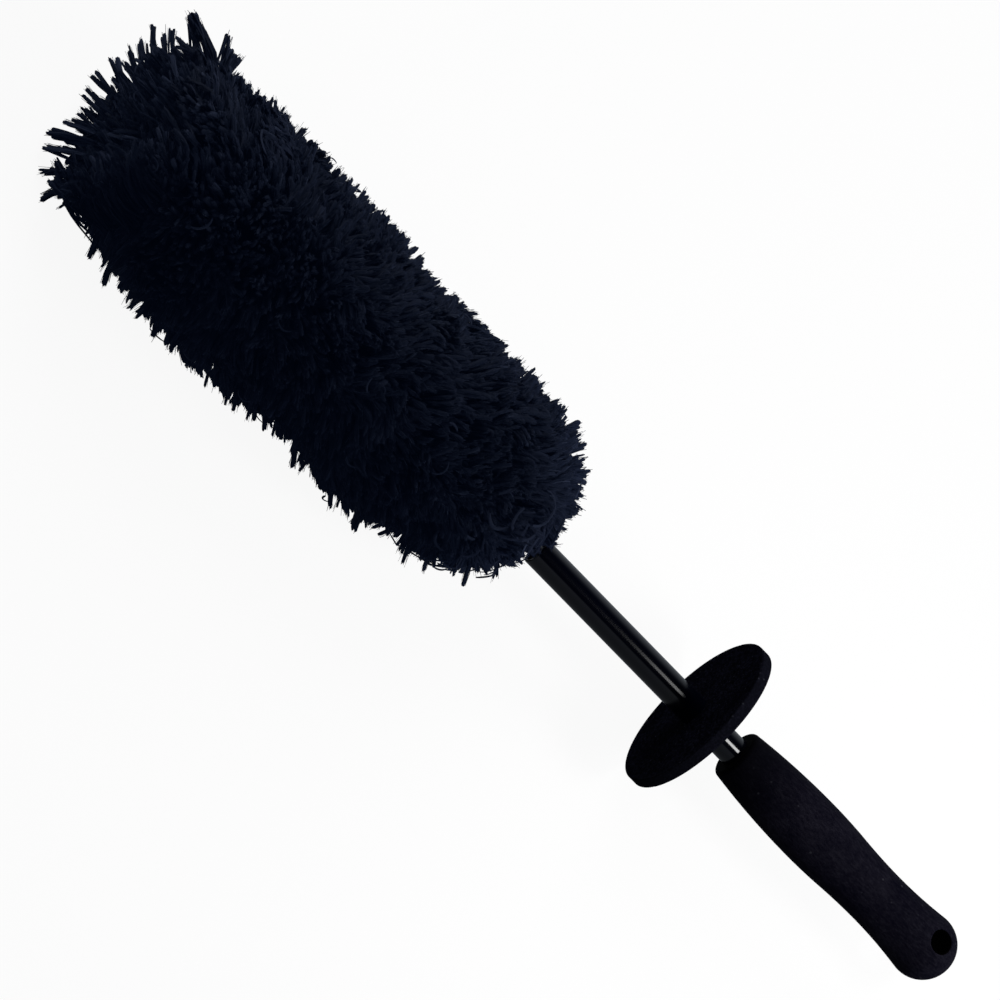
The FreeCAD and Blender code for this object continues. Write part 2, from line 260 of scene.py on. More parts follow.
def blend_of(tree, first, share, second):
    """share of the first value and the rest of the second."""
    part = tree.nodes.new("ShaderNodeMath")
    part.operation = "MULTIPLY"
    part.inputs[1].default_value = share
    tree.links.new(first, part.inputs[0])
    rest = tree.nodes.new("ShaderNodeMath")
    rest.operation = "MULTIPLY_ADD"
    rest.inputs[1].default_value = 1 - share
    tree.links.new(second, rest.inputs[0])
    tree.links.new(part.outputs[0], rest.inputs[2])
    return rest.outputs[0]


def specks(tree, vector, scale, limit):
    """1 in small, scattered cells, 0 elsewhere."""
    cells = tree.nodes.new("ShaderNodeTexVoronoi")
    cells.inputs["Scale"].default_value = scale
    tree.links.new(vector, cells.inputs["Vector"])
    near = tree.nodes.new("ShaderNodeMapRange")
    near.inputs["From Min"].default_value = 0.22
    near.inputs["From Max"].default_value = 0.10
    tree.links.new(cells.outputs["Distance"], near.inputs["Value"])
    split = tree.nodes.new("ShaderNodeSeparateColor")
    tree.links.new(cells.outputs["Color"], split.inputs["Color"])
    few = tree.nodes.new("ShaderNodeMath")
    few.operation = "GREATER_THAN"
    few.inputs[1].default_value = limit
    tree.links.new(split.outputs[0], few.inputs[0])
    both = tree.nodes.new("ShaderNodeMath")
    both.operation = "MULTIPLY"
    tree.links.new(near.outputs["Result"], both.inputs[0])
    tree.links.new(few.outputs[0], both.inputs[1])
    return both.outputs[0]


def mixed_colour(tree, share, first, second):
    """From the first colour to the second as share goes from 0 to 1; either may be a socket."""
    mix = tree.nodes.new("ShaderNodeMix")
    mix.data_type = "RGBA"
    tree.links.new(share, mix.inputs["Factor"])
    for socket, colour in ((mix.inputs[6], first), (mix.inputs[7], second)):
        if isinstance(colour, tuple):
            socket.default_value = (*colour, 1)
        else:
            tree.links.new(colour, socket)
    return mix.outputs[2]


def distance_from(tree, point, square):
    """Distance from the line through a point, where square is 1 for the axes square to it."""
    offset = tree.nodes.new("ShaderNodeVectorMath")
    offset.operation = "SUBTRACT"
    offset.inputs[1].default_value = point
    tree.links.new(object_coordinates(tree), offset.inputs[0])
    flat = tree.nodes.new("ShaderNodeVectorMath")
    flat.operation = "MULTIPLY"
    flat.inputs[1].default_value = square
    tree.links.new(offset.outputs[0], flat.inputs[0])
    distance = tree.nodes.new("ShaderNodeVectorMath")
    distance.operation = "LENGTH"
    tree.links.new(flat.outputs[0], distance.inputs[0])
    return distance.outputs["Value"]


def guard_material():
    """Closed-cell foam sheet: fine cells, broad faint mottling, pale specks and a lighter rim that is
    a painted highlight along the edge.
    """
    material, tree, shader = new_material("guard_foam", Roughness=0.9, Specular_IOR_Level=0.005)
    vector = object_coordinates(tree)
    cells = noise(tree, vector, 1100, detail=4.0, roughness=0.75)
    value = blend_of(tree, cells, 0.85, noise(tree, vector, 70, detail=2.0))
    colour = colour_ramp(tree, value, (
        (0.45, (0.0001, 0.0001, 0.0009)),
        (0.52, (0.0007, 0.0007, 0.0036)),
        (0.58, (0.0066, 0.0068, 0.0130)),
    ))
    # painted highlight: the rim is lightened where the edge catches the light
    rim = tree.nodes.new("ShaderNodeMapRange")
    rim.inputs["From Min"].default_value = GUARD_R - 1.5 * MM
    rim.inputs["From Max"].default_value = GUARD_R
    rim.inputs["To Max"].default_value = 0.6
    tree.links.new(distance_from(tree, (0, 0, AXIS_Z), (0, 1, 1)), rim.inputs["Value"])
    colour = mixed_colour(tree, rim.outputs["Result"], colour, (0.0052, 0.0054, 0.0088))
    pale = mixed_colour(tree, specks(tree, vector, 420, 0.88), colour, (0.026, 0.027, 0.036))
    tree.links.new(pale, shader.inputs["Base Color"])
    bump(tree, shader, cells, 0.6, 0.35 * MM)
    return material


def grip_material():
    """Moulded foam: a leathery grain along the grip, mottled, with a few pale specks; its front end
    is darkened with painted shade where the guard shadows it, and the hanging hole's wall is painted
    black as shade."""
    material, tree, shader = new_material("grip_foam", Roughness=0.75, Specular_IOR_Level=0.025)
    vector = object_coordinates(tree)
    grain = noise(tree, object_coordinates(tree, (0.35, 1, 1)), 1000, detail=5.0, roughness=0.75)
    value = blend_of(tree, grain, 0.65, noise(tree, vector, 55, detail=3.0))
    colour = colour_ramp(tree, value, (
        (0.40, (0.0013, 0.0012, 0.0042)),
        (0.50, (0.0036, 0.0033, 0.0070)),
        (0.62, (0.0082, 0.0077, 0.0128)),
    ))
    colour = mixed_colour(tree, specks(tree, vector, 330, 0.90), colour, (0.020, 0.020, 0.026))

    # painted shade: the hanging hole's wall is painted black
    hole_wall_shade = tree.nodes.new("ShaderNodeMapRange")
    hole_wall_shade.inputs["From Min"].default_value = HOLE_R + 0.05 * MM
    hole_wall_shade.inputs["From Max"].default_value = HOLE_R + 0.25 * MM
    tree.links.new(distance_from(tree, (HOLE_X, 0, 0), (1, 1, 0)), hole_wall_shade.inputs["Value"])
    colour = mixed_colour(tree, hole_wall_shade.outputs["Result"], (0.0, 0.0, 0.0), colour)
    # painted shade: the front end darkened towards black, where the guard shadows the grip
    front_shade = tree.nodes.new("ShaderNodeMapRange")
    front_shade.inputs["From Min"].default_value = GRIP_X
    front_shade.inputs["From Max"].default_value = GRIP_X + 34 * MM
    front_shade.inputs["To Min"].default_value = 0.12
    split = tree.nodes.new("ShaderNodeSeparateXYZ")
    tree.links.new(object_coordinates(tree), split.inputs[0])
    tree.links.new(split.outputs["X"], front_shade.inputs["Value"])
    colour = mixed_colour(tree, front_shade.outputs["Result"], (0.0, 0.0, 0.0008), colour)
    tree.links.new(colour, shader.inputs["Base Color"])
    bump(tree, shader, grain, 0.35, 0.25 * MM)
    return material


def plain_material(name, dark, light, scale, **values):
    """A moulded or drawn part: one colour with a faint procedural variation."""
    material, tree, shader = new_material(name, **values)
    colour = colour_ramp(tree, noise(tree, object_coordinates(tree), scale), (
        (0.3, dark), (0.7, light),
    ))
    tree.links.new(colour, shader.inputs["Base Color"])
    return material


YARN = yarn_material()
ROOTS = core_material()
SHAFT = shaft_material()
GRIP = grip_material()
GUARD = guard_material()
STEEL = plain_material("wire_steel", (0.45, 0.45, 0.46), (0.6, 0.6, 0.62), 300,
                       Metallic=1.0, Roughness=0.35)
RUBBER = plain_material("cap_rubber", (0.006, 0.006, 0.007), (0.012, 0.012, 0.014), 500,
                        Roughness=0.7)
INSERT = plain_material("insert_plastic", (0.008, 0.008, 0.010), (0.014, 0.014, 0.017), 400,
                        Roughness=0.45)

for node, material in (
    ("shaft_tube", SHAFT),
    ("grip_foam", GRIP),
    ("guard_disc", GUARD),
    ("core_wire_a", STEEL),
    ("core_wire_b", STEEL),
    ("tip_cap", RUBBER),
    ("mouth_bush", INSERT),
    ("wire_anchor", INSERT),
    ("tube_end_plug", INSERT),
):
    for material_slot in bpy.data.objects[node].material_slots:
        material_slot.material = material


# ---------------------------------------------------------------------------
# The pile's envelope: a blunt tip with a rounded edge, a cylinder and a rear dome. It is fuller
# on its upper side, the one uppermost in the camera's view, than on the lower side opposite.
# ---------------------------------------------------------------------------

FACE_R = PILE_R - TIP_ROUND
ROUND_X = TIP_X + TIP_ROUND
MOUTH_ROOM = 1.2 * MM  # from the shaft to the end of the pile's outline round it
MOUTH_ANGLE = math.acos((TUBE_R + MOUTH_ROOM) / PILE_R)
OUTLINE_LENGTH = FACE_R + TIP_ROUND * math.pi / 2 + (DOME_X - ROUND_X) + PILE_R * MOUTH_ANGLE
UPPER_SIDE = math.pi / 2 - ROLL
COMBED_SIDE = UPPER_SIDE - math.radians(50)   # where the yarn leans as UPPER_LEAN says
FRONT_SIDE = UPPER_SIDE - math.radians(110)   # where the curls near the shaft gather
# Tables of (place along the pile, value): millimetres of fullness, and degrees that the yarn leans.
UPPER_FULLNESS = (
    (0.0, -3.0), (0.06, -2.5), (0.12, -1.0), (0.22, 2.0), (0.58, 2.2), (0.68, -1.2), (0.76, 0.0),
    (1.0, 0.0),
)
LOWER_FULLNESS = (
    (0.0, -9.5), (0.12, -13.0), (0.2, -5.0), (0.36, -1.5), (0.52, -2.0), (0.6, -4.0), (0.68, -8.0),
    (0.76, -4.5), (0.84, -3.5), (0.92, -6.5), (1.0, -13.0), (1.2, -10.0),
)
UPPER_LEAN = (
    (0.0, 64), (0.06, 62), (0.25, 44), (0.45, 14), (0.56, 0), (0.66, -22), (0.85, -28),
    (1.0, -14), (1.25, 0),
)
LOWER_LEAN = (
    (0.0, 25), (0.05, 0), (0.12, -18), (0.3, -30), (0.6, -28), (0.85, -24), (1.0, -12), (1.25, 0),
)
FLOOR_ROOM = 2.7 * MM   # height over which yarn is pressed flat
FLOOR_GAP = 0.35 * MM   # from the table to the middle of the lowest yarn
LOWEST = 0.1 * MM       # no part of a yarn is lower than this
SHAFT_ROOM = 0.6 * MM   # least distance from the shaft to the middle of a yarn


def outline_at(travel):
    """Points and outward normals of the outline, (x, radius), at distances along it from its tip."""
    round_start = FACE_R
    side_start = round_start + TIP_ROUND * math.pi / 2
    dome_start = side_start + (DOME_X - ROUND_X)
    place = np.zeros((len(travel), 2))
    normal = np.zeros((len(travel), 2))

    on_face = travel < round_start
    place[on_face] = np.stack([np.full(on_face.sum(), TIP_X), travel[on_face]], 1)
    normal[on_face] = (-1, 0)

    on_round = (travel >= round_start) & (travel < side_start)
    turn = (travel[on_round] - round_start) / TIP_ROUND
    normal[on_round] = np.stack([-np.cos(turn), np.sin(turn)], 1)
    place[on_round] = normal[on_round] * TIP_ROUND + (ROUND_X, FACE_R)

    on_side = (travel >= side_start) & (travel < dome_start)
    side_x = ROUND_X + travel[on_side] - side_start
    place[on_side] = np.stack([side_x, np.full(on_side.sum(), PILE_R)], 1)
    normal[on_side] = (0, 1)

    on_dome = travel >= dome_start
    turn = (travel[on_dome] - dome_start) / PILE_R
    normal[on_dome] = np.stack([np.sin(turn), np.cos(turn)], 1)
    place[on_dome] = normal[on_dome] * PILE_R + (DOME_X, 0)
    return place, normal


def table_value(table, share):
    """The value at each share of the pile's length, from a table of (place, value)."""
    places, values = zip(*table)
    return np.interp(share, places, values)


def sided(upper, lower, turn, share):
    """A value that goes from the upper table's at no turn to the lower table's at half a turn."""
    weight = 0.5 + 0.5 * np.cos(turn)
    return table_value(upper, share) * weight + table_value(lower, share) * (1 - weight)


def scatter(rng, count):
    """Evenly spread points on the envelope: distance along its outline, and angle about the axis."""
    travel = np.zeros(0)
    while len(travel) < count:
        tried = rng.uniform(0, OUTLINE_LENGTH, count)
        place, _ = outline_at(tried)
        kept = rng.uniform(0, PILE_R, count) < place[:, 1]
        travel = np.concatenate([travel, tried[kept]])
    return travel[:count], rng.uniform(0, 2 * math.pi, count)


def to_space(x, radius, angle):
    """Points from distance along the axis, radius, and angle about it from the vertical."""
    return np.stack([x, radius * np.sin(angle), AXIS_Z + radius * np.cos(angle)], 1)


def ripple(points, length, seed, waves=12):
    """A smooth random field in space, of spread 1 and about that wavelength, from plane waves."""
    rng = np.random.default_rng(seed)
    ways = unit(rng.normal(size=(waves, 3))) * 2 * math.pi / length
    ways *= rng.uniform(0.7, 1.4, (waves, 1))
    phases = rng.uniform(0, 2 * math.pi, waves)
    return np.sin(points @ ways.T + phases).sum(1) / math.sqrt(waves / 2)


def unit(vectors):
    return vectors / np.maximum(np.linalg.norm(vectors, axis=-1, keepdims=True), 1e-12)


def off_table(lines):
    """Press lines down onto the table, spreading them sideways, and keep them out of the shaft."""
    height = lines[..., 2] - FLOOR_GAP
    pressed = np.where(
        height < FLOOR_ROOM,
        FLOOR_ROOM * np.exp(np.minimum(height - FLOOR_ROOM, 0) / FLOOR_ROOM),
        height,
    )
    lines = lines.copy()
    lines[..., 1] += np.sign(lines[..., 1]) * (pressed - height) * 0.3
    lines[..., 2] = pressed + FLOOR_GAP
    offset = lines[..., 1:] - (0, AXIS_Z)
    distance = np.linalg.norm(offset, axis=-1, keepdims=True)
    least = np.where(lines[..., :1] > MOUTH_X - 2 * MM, TUBE_R + SHAFT_ROOM, 0)
    lines[..., 1:] = offset * np.maximum(1, least / np.maximum(distance, 1e-9)) + (0, AXIS_Z)
    return lines


# ---------------------------------------------------------------------------
# Yarn: where each yarn's end lies, which way it points, and which lock it leans into
# ---------------------------------------------------------------------------

YARNS = 18000
YARNS_TO_A_LOCK = 6
YARN_REACH = 27 * MM    # depth from the pile's surface to a yarn's root, along the yarn
SWIRL_LENGTH = 42 * MM  # wavelength of the broad swirls that the pile is combed in
LUMP_LENGTH = 17 * MM   # wavelength of the smaller lumps
TALL_SHARE = 0.13       # share of the locks that stand out, more where the pile is loose
SHORT_SHARE = 0.45      # share of the yarns that end deeper than the rest
SINGLE_SHARE = 0.05     # share of the yarns that stand out alone, more where the pile is loose
TUFTS = (  # where each ends: mm behind the pile's tip, radius, turn; its lean, length and yarns
    (-5, 51.5, 0, 74, 17, 26),
    (1, 49.5, 14, 62, 13, 10),
    (10, 56.5, -2, 38, 16, 24),
    (15, 53, -8, 24, 12, 12),
    (21, 52.5, 0, 6, 9, 14),
    (44, 49, 2, 14, 7, 6),
    (53, 50, 0, 6, 7, 6),
    (75, 49.5, 1, 2, 6, 5),
    (118, 50, 0, -10, 5, 5),
    (-3, 36, 140, 45, 14, 4),
    (4, 43, 150, 32, 13, 6),
    (8, 46, 170, 12, 13, 6),
    (38, 46, 178, -22, 10, 6),
    (49, 49, 181, -26, 10, 6),
    (80, 49.5, 180, -28, 7, 4),
    (126, 49, 180, -30, 7, 3),
    (160, 47, 180, -34, 8, 3),
    (197, 47, 179, -28, 11, 4),
    (221, 42.5, 180, -25, 10, 2),
    (230, 38.5, 178, -30, 9, 2),
    (239, 31, 182, -30, 9, 2),
    (247, 32, 178, -28, 13, 2),
    (253, 20, 181, -40, 10, 2),
    (231, 47.5, 0, -20, 9, 5),
    (240, 43.5, 3, -32, 9, 5),
    (248, 37.0, -3, -45, 9, 5),
    (254, 29.0, 0, -58, 8, 4),
)
RIM_STRANDS = 17


def yarn_ends(rng):
    """Where each yarn ends on the envelope, its heading there, and the way square to it."""
    travel, angle = scatter(rng, YARNS)
    place, normal = outline_at(travel)
    x, radius = place.T
    share = (x - TIP_X) / (DOME_X - TIP_X)
    fullness = sided(UPPER_FULLNESS, LOWER_FULLNESS, angle - UPPER_SIDE, share) * MM
    x = x + fullness * normal[:, 0]
    radius = radius + fullness * normal[:, 1]
    lean = sided(UPPER_LEAN, LOWER_LEAN, angle - COMBED_SIDE, share) * normal[:, 1]
    end = to_space(x, radius, angle)
    lean += 13 * ripple(end, SWIRL_LENGTH, 11) + 9 * ripple(end, LUMP_LENGTH, 12)
    swirl = 15 * ripple(end, SWIRL_LENGTH, 13) + 10 * ripple(end, LUMP_LENGTH, 14)
    lean = np.radians(lean + rng.normal(0, 10, YARNS))
    swirl = np.radians(swirl + rng.normal(0, 12, YARNS))

    forward = normal[:, 0] * np.cos(lean) - normal[:, 1] * np.sin(lean)
    outward = normal[:, 1] * np.cos(lean) + normal[:, 0] * np.sin(lean)
    zero = np.zeros(YARNS)
    radial = np.stack([zero, np.sin(angle), np.cos(angle)], 1)
    sideways = np.stack([zero, np.cos(angle), -np.sin(angle)], 1)
    along = np.array([1.0, 0, 0])
    heading = forward[:, None] * along + outward[:, None] * radial
    heading = heading * np.cos(swirl)[:, None] + sideways * np.sin(swirl)[:, None]
    square = normal[:, :1] * along + normal[:, 1:] * radial
    return end, heading, square, share, angle


def looseness(share, angle):
    """How loose the pile is, from 0 to 1: more at the tip and along the lower side."""
    at_tip = np.clip(1 - share / 0.16, 0, 1)
    below = np.clip(-np.cos(angle - UPPER_SIDE), 0, 1) ** 2
    return np.maximum(at_tip, 0.7 * below)


def rim_strands(rng):
    """Loose strands round the far rim of the tip, in the form of TUFTS."""
    for turn in np.linspace(24, 140, RIM_STRANDS) + rng.normal(0, 2.5, RIM_STRANDS):
        height = -math.cos(UPPER_SIDE + math.radians(turn))
        radius = min(47, (AXIS_Z / MM - 1.5) / max(height, 0.01)) + rng.normal(0, 1.2)
        yield rng.normal(-1.5, 1.5), radius, turn, rng.uniform(25, 50), rng.uniform(9, 14), 3


def gather_tufts(end, heading, drawn, depth, blunt, rng):
    """Draw the yarns nearest to each tuft's foot into it."""
    for along, radius, turn, lean, length, count in (*TUFTS, *rim_strands(rng)):
        angle = UPPER_SIDE + math.radians(turn)
        lean = math.radians(lean)
        radial = np.array([0, math.sin(angle), math.cos(angle)])
        way = radial * math.cos(lean) - np.array([math.sin(lean), 0, 0])
        tip = np.array([TIP_X + along * MM, 0, AXIS_Z]) + radial * radius * MM
        foot = tip - way * length * MM
        near = np.argsort(np.linalg.norm(end - foot, axis=1))[:count]
        drawn[near] = (foot - end[near]) * rng.uniform(0.80, 0.97, (count, 1))
        heading[near] = unit(way + rng.normal(0, 0.07, (count, 3)))
        depth[near] = length * MM * rng.uniform(0.66, 1.02, count)
        blunt[near] = 1


def yarn_curves(rng):
    """Root, bend and tip of each yarn, its heading at the tip, the way square to the pile, and
    how blunt its end is."""
    end, heading, square, share, angle = yarn_ends(rng)
    centres = rng.choice(YARNS, int(YARNS / YARNS_TO_A_LOCK), replace=False)
    tree = KDTree(len(centres))
    for number, centre in enumerate(centres):
        tree.insert(end[centre], number)
    tree.balance()
    lock = np.array([tree.find(point)[1] for point in end])
    middle = centres[lock]

    loose = looseness(share, angle)
    tall_lock = rng.uniform(size=len(centres)) < TALL_SHARE + 0.12 * loose[centres]
    tall = tall_lock[lock]
    rise = rng.uniform(0.3 * MM, 2.4 * MM, len(centres)) * (1 + 1.7 * loose[centres])

    pull = rng.uniform(0.0, 0.35, YARNS) + 0.2 * tall
    drawn = (end[middle] - end) * pull[:, None]
    together = np.where(tall, 0.55, 0.3)[:, None]
    heading = unit(heading * (1 - together) + heading[middle] * together)
    lumps = 1.1 * MM * ripple(end, LUMP_LENGTH, 15) - 2.0 * MM * np.clip(1 - share / 0.1, 0, 1)
    depth = rng.normal(0, 0.6 * MM, len(centres))[lock] + rng.normal(-1.3 * MM, 0.8 * MM, YARNS)
    depth += lumps
    short = rng.uniform(size=YARNS) < SHORT_SHARE
    depth[short] -= rng.uniform(0.3 * MM, 4.5 * MM, short.sum())
    depth = np.where(tall & ~short, rise[lock] + rng.normal(0, 0.7 * MM, YARNS), depth)
    single = rng.uniform(size=YARNS) < SINGLE_SHARE + 0.04 * loose
    depth[single] = rng.uniform(0.5 * MM, 3.2 * MM, single.sum()) * (1 + loose[single])
    blunt = rng.uniform(size=YARNS)
    gather_tufts(end, heading, drawn, depth, blunt, rng)

    bow = np.cross(heading, rng.normal(size=(YARNS, 3))) * rng.uniform(0, 3.2 * MM, (YARNS, 1))
    tip = end + drawn + heading * depth[:, None]
    bend = end + drawn * 0.4 - heading * YARN_REACH * 0.5 + bow
    root = bend - square * YARN_REACH * 0.5 - bow
    return root, bend, tip, heading, square, blunt


def along_curve(root, bend, tip, places):
    """Points of each yarn's curve at shares of the way from its root to its tip."""
    place = np.asarray(places)[None, :, None]
    return (
        root[:, None] * (1 - place) ** 2
        + bend[:, None] * 2 * place * (1 - place)
        + tip[:, None] * place ** 2
    )


# ---------------------------------------------------------------------------
# Tubes: a yarn is a soft, flattened tube that widens to a rounded end, with a few loose fibres.
# Its surface is fuzz rather than skin, so it is shaded as if it faced mostly out of the pile.
# ---------------------------------------------------------------------------

YARN_RINGS = (0.0, 0.40, 0.66, 0.86, 0.955, 0.988, 1.0)
TAPERED = np.array((0.42, 0.58, 0.82, 1.0, 0.90, 0.66, 0.34))  # width at each ring, of a fine end
BLUNT = np.array((0.42, 0.58, 0.82, 0.98, 1.04, 0.96, 0.62))   # and of a full one
FLATNESS = 0.6                      # a yarn's thickness over its width
YARN_SIDES = 8
YARN_HALF = (0.65 * MM, 1.20 * MM)  # least and greatest half width
FUZZ = 0.74                         # share of the shading normal that faces out of the pile
FIBRES = 4                          # to each yarn
FIBRE_RINGS = (0.48, 0.70, 0.88, 1.0)
FIBRE_SIDES = 3


def tube(lines, wide, thick, turn, sides, ridge, facing):
    """Points of closed tubes, (tube, ring, side, xyz), round lines of (tube, ring, xyz); where
    a tube is flattened, its flat side faces the way given."""
    heading = unit(np.gradient(lines, axis=1))
    middle = unit(lines[:, -1] - lines[:, 0])
    lead = unit(np.cross(middle, facing))[:, None]
    first = unit(lead - heading * (lead * heading).sum(-1, keepdims=True))
    second = np.cross(heading, first)
    spot = np.arange(sides) * 2 * math.pi / sides
    flute = np.where(np.arange(sides) % 2 == 0, 1.0, ridge)
    flat = wide[..., None] * np.cos(spot) * flute
    high = thick[..., None] * np.sin(spot) * flute
    cos, sin = np.cos(turn)[..., None], np.sin(turn)[..., None]
    one = (flat * cos - high * sin)[..., None] * first[:, :, None]
    other = (flat * sin + high * cos)[..., None] * second[:, :, None]
    return lines[:, :, None] + one + other


def yarn_tubes(root, bend, tip, square, blunt, rng):
    """The tubes of all the yarns, with slightly ragged ends."""
    count = len(root)
    lines = off_table(along_curve(root, bend, tip, YARN_RINGS))
    half = rng.uniform(*YARN_HALF, (count, 1))
    turn = rng.normal(0, 0.5, (count, 1)) * np.array(YARN_RINGS)
    facing = square + rng.normal(0, 0.25, (count, 3))
    wide = half * (TAPERED + (BLUNT - TAPERED) * blunt[:, None])
    points = tube(lines, wide, wide * FLATNESS, turn, YARN_SIDES, 0.84, facing)
    end_way = unit(lines[:, -1] - lines[:, -3])[:, None, None]
    points[:, -2:] += end_way * rng.normal(0, 0.20 * MM, (count, 1, YARN_SIDES, 1))
    points += rng.normal(0, 0.04 * MM, points.shape)
    return points


def fibre_tubes(root, bend, tip, heading, rng):
    """Loose fibres that leave each yarn near its end."""
    count = len(root) * FIBRES
    root, bend, tip, heading = (np.repeat(a, FIBRES, 0) for a in (root, bend, tip, heading))
    places = np.array(FIBRE_RINGS)
    lines = along_curve(root, bend, tip, places)
    aside = np.cross(heading, rng.normal(size=heading.shape))
    aside = unit(aside) * rng.uniform(0.4 * MM, 1.6 * MM, (count, 1))
    lines += aside[:, None] * (places[:, None] ** 3)
    reach = rng.normal(0.1 * MM, 0.8 * MM, (count, 1, 1))
    lines += heading[:, None] * (reach * places[:, None] ** 6)
    lines[:, 1:] += rng.normal(0, 0.18 * MM, (count, len(places) - 1, 3))
    half = rng.uniform(0.09 * MM, 0.19 * MM, (count, 1)) * np.array((1, 1, 0.9, 0.6))
    return tube(off_table(lines), half, half, np.zeros(lines.shape[:2]), FIBRE_SIDES, 1.0, aside)


def tube_faces(count, rings, sides, start):
    """Corner numbers and corner counts of the faces that close tubes numbered from start."""
    ring = np.arange(rings - 1)[:, None] * sides
    corner = np.arange(sides)[None]
    following = (corner + 1) % sides
    walls = np.stack([
        ring + corner, ring + following, ring + sides + following, ring + sides + corner,
    ], -1).reshape(-1)
    caps = np.concatenate([np.arange(sides)[::-1], np.arange(sides) + (rings - 1) * sides])
    one = np.concatenate([walls, caps])
    corners = one[None] + np.arange(count)[:, None] * rings * sides + start
    counts = np.tile([4] * (rings - 1) * sides + [sides] * 2, count)
    return corners.reshape(-1), counts


def tubes_mesh(name, groups, material):
    """One mesh of groups of tubes: their points, (tube, ring, side, xyz); tones, (tube, ring);
    a random number for each; and the way out of the pile at each."""
    vertices, normals, corners, counts, tones, threads = [], [], [], [], [], []
    start = 0
    for points, tone, salt, square in groups:
        number, rings, sides, _ = points.shape
        vertices.append(points.reshape(-1, 3))
        skin = unit(points - points.mean(2, keepdims=True))
        soft = skin * (1 - FUZZ) + square[:, None, None] * FUZZ
        normals.append(unit(soft).reshape(-1, 3))
        some, sizes = tube_faces(number, rings, sides, start)
        corners.append(some)
        counts.append(sizes)
        tones.append(np.repeat(tone[..., None], sides, 2).reshape(-1))
        thread = np.zeros((number, rings, sides, 3))
        thread[..., 0] = salt[:, None, None] * 97
        thread[..., 1] = np.abs(np.arange(sides) - sides / 2)
        thread[..., 2] = np.linspace(0, 1, rings)[None, :, None]
        threads.append(thread.reshape(-1, 3))
        start += number * rings * sides
    vertices = np.concatenate(vertices)
    vertices[:, 2] = np.maximum(vertices[:, 2], LOWEST)
    corners = np.concatenate(corners)
    counts = np.concatenate(counts)

    mesh = bpy.data.meshes.new(name)
    mesh.vertices.add(len(vertices))
    mesh.vertices.foreach_set("co", vertices.astype(np.float32).ravel())
    mesh.loops.add(len(corners))
    mesh.loops.foreach_set("vertex_index", corners.astype(np.int32))
    mesh.polygons.add(len(counts))
    loop_start = np.concatenate([[0], np.cumsum(counts)[:-1]])
    mesh.polygons.foreach_set("loop_start", loop_start.astype(np.int32))
    mesh.polygons.foreach_set("use_smooth", np.ones(len(counts), bool))
    mesh.update(calc_edges=True)
    mesh.normals_split_custom_set_from_vertices(np.concatenate(normals).astype(np.float32))
    tone = mesh.attributes.new("tone", "FLOAT", "POINT")
    tone.data.foreach_set("value", np.concatenate(tones).astype(np.float32))
    thread = mesh.attributes.new("thread", "FLOAT_VECTOR", "POINT")
    thread.data.foreach_set("vector", np.concatenate(threads).astype(np.float32).ravel())
    mesh.materials.append(material)
    return mesh


def add_piece(name, mesh, *replaced):
    """A visual piece of the pile, riding on the brush, in place of the CAD nodes given."""
    piece = bpy.data.objects.new(name, mesh)
    bpy.context.scene.collection.objects.link(piece)
    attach(piece, "brush")
    if replaced:
        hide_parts(*replaced)
    return piece


# ---------------------------------------------------------------------------
# The pile, in short rings of yarn, and the matted middle that no light gets through
# ---------------------------------------------------------------------------

YARNS_TO_A_PIECE = 1060  # yarns to each piece of the pile; keeps each piece under the limit on triangles


def build_pile():
    """Every yarn with its fibres, shared out among short rings along the pile."""
    rng = np.random.default_rng(7)
    root, bend, tip, heading, square, blunt = yarn_curves(rng)
    near_tip = np.clip(1 - (tip[:, 0] - TIP_X) / (60 * MM), 0, 1)
    tone = np.clip(rng.normal(0.50, 0.07 + 0.11 * near_tip) + 0.05 * near_tip, 0.05, 1)
    yarns = yarn_tubes(root, bend, tip, square, blunt, rng)
    # each yarn's own tone, darker towards its root: painted shade deep in the pile
    yarn_tone_and_root_shade = tone[:, None] * (0.80 + 0.20 * np.array(YARN_RINGS))
    fibres = fibre_tubes(root, bend, tip, heading, rng)
    fibre_tone = np.repeat(tone, FIBRES) + rng.normal(0.08, 0.1, YARNS * FIBRES)
    fibre_tone = np.clip(fibre_tone, 0.05, 1)[:, None] * np.ones(len(FIBRE_RINGS))
    salt = rng.uniform(size=YARNS)
    for node, low, high in (
        ("pile_tip", -1, BODY_X),
        ("pile_body", BODY_X, DOME_X),
        ("pile_rear", DOME_X, 1),
    ):
        here = np.flatnonzero((tip[:, 0] >= low) & (tip[:, 0] < high))
        here = here[np.argsort(tip[here, 0], kind="stable")]
        parts = math.ceil(len(here) / YARNS_TO_A_PIECE)
        for number, some in enumerate(np.array_split(here, parts), 1):
            each = (some[:, None] * FIBRES + np.arange(FIBRES)).reshape(-1)
            mesh = tubes_mesh(f"{node}_{number}", [
                (yarns[some], yarn_tone_and_root_shade[some], salt[some], square[some]),
                (
                    fibres[each], fibre_tone[each],
                    np.repeat(salt[some], FIBRES), np.repeat(square[some], FIBRES, 0),
                ),
            ], YARN)
            add_piece(mesh.name, mesh, node)


CURLS = 80
CURLS_NEAR_SHAFT = 0.4
CURL_RINGS = 9
CURL_SIDES = 6


